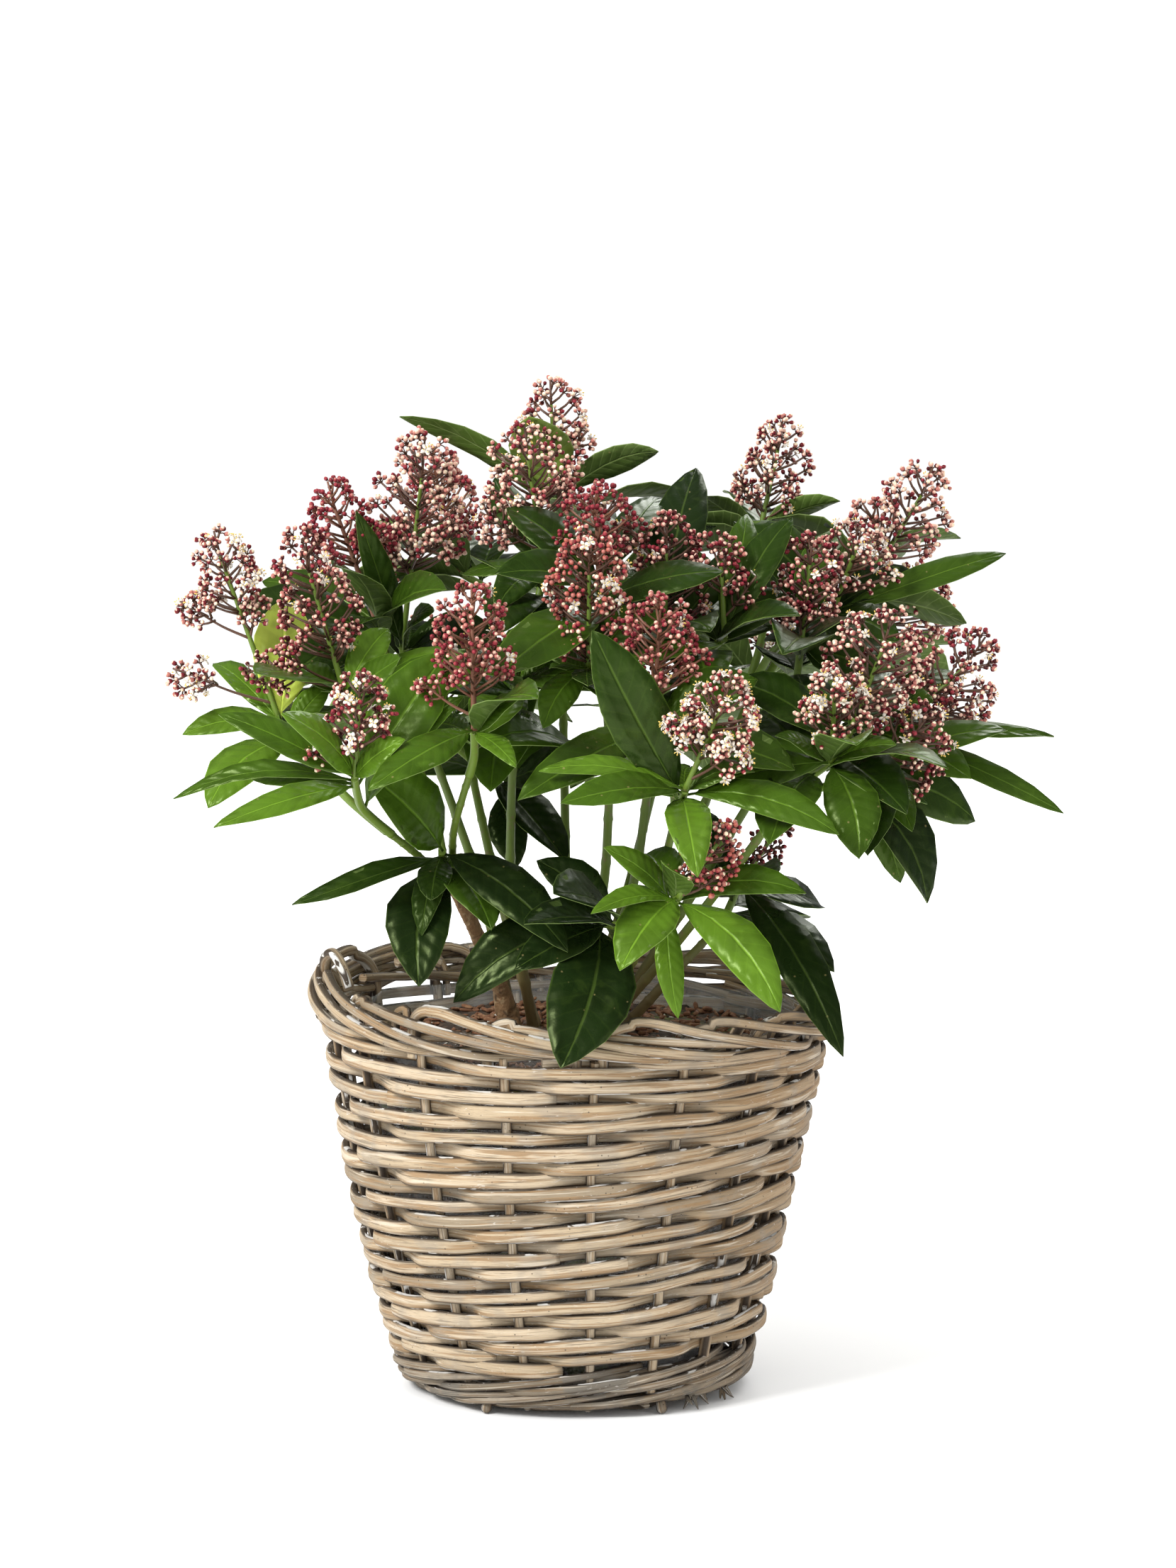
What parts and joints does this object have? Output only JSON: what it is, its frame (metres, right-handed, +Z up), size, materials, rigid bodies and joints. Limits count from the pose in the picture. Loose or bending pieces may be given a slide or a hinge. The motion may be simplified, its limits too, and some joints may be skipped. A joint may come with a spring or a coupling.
{
  "type": "potted skimmia shrub in a willow basket",
  "caption": "Bushy evergreen shrub with leathery leaf whorls and domed panicles of red and cream buds, potted in a tapered woven willow basket with a clear liner.",
  "frame": {"origin": "centre of the basket's flat underside, on the surface that it stands on", "axes": "+Z up, -Y to the front, the side that the picture shows, +X to the right seen from the front"},
  "size_m": [0.5188, 0.5037, 0.594],
  "materials": {
    "willow": "matte",
    "willow_grey": "matte",
    "clear_film": "gloss",
    "soil": "matte",
    "bark": "matte",
    "green_stem": "satin",
    "foliage": "satin",
    "blossom_red": "matte",
    "blossom_cream": "matte"
  },
  "bodies": {
    "root": {"basket_floor": "willow_grey", "foot_band": "willow_grey", "basket_wall": "willow", "basket_border": "willow", "liner": "clear_film", "soil": "soil", "trunk": "bark", "bough_left_low": "green_stem", "bough_left": "green_stem", "bough_front_left": "green_stem", "bough_inner_left": "green_stem", "bough_upper_left": "green_stem", "bough_middle": "green_stem", "bough_middle_right": "green_stem", "bough_front": "green_stem", "bough_front_low": "green_stem", "bough_right_low": "green_stem", "bough_low_right": "green_stem", "bough_right": "green_stem", "bough_right_back": "green_stem", "bough_back": "green_stem", "bough_back_left": "green_stem", "bough_back_right": "green_stem", "shoot_far_left": "foliage", "shoot_left_low": "foliage", "shoot_left_front": "foliage", "shoot_left_upper": "foliage", "shoot_upper_left": "foliage", "shoot_front_left": "foliage", "shoot_fork": "foliage", "shoot_inner_left": "foliage", "shoot_top_front": "foliage", "shoot_top": "foliage", "shoot_middle_upper": "foliage", "shoot_middle_front": "foliage", "shoot_middle_right": "foliage", "shoot_right_of_middle": "foliage", "shoot_front_middle": "foliage", "shoot_front_right": "foliage", "shoot_front_low_right": "foliage", "shoot_front_low": "foliage", "shoot_right_front": "foliage", "shoot_right_low_front": "foliage", "shoot_right_low": "foliage", "shoot_right_inner": "foliage", "shoot_far_right": "foliage", "shoot_low_right": "foliage", "shoot_right_upper": "foliage", "shoot_right_upper_back": "foliage", "shoot_right_back": "foliage", "shoot_upper_right_back": "foliage", "shoot_inner_low": "foliage", "shoot_back_left": "foliage", "shoot_back_low_left": "foliage", "shoot_back_top_left": "foliage", "shoot_back_middle": "foliage", "shoot_back_low_right": "foliage", "shoot_back_right": "foliage"}
  },
  "joints": []
}
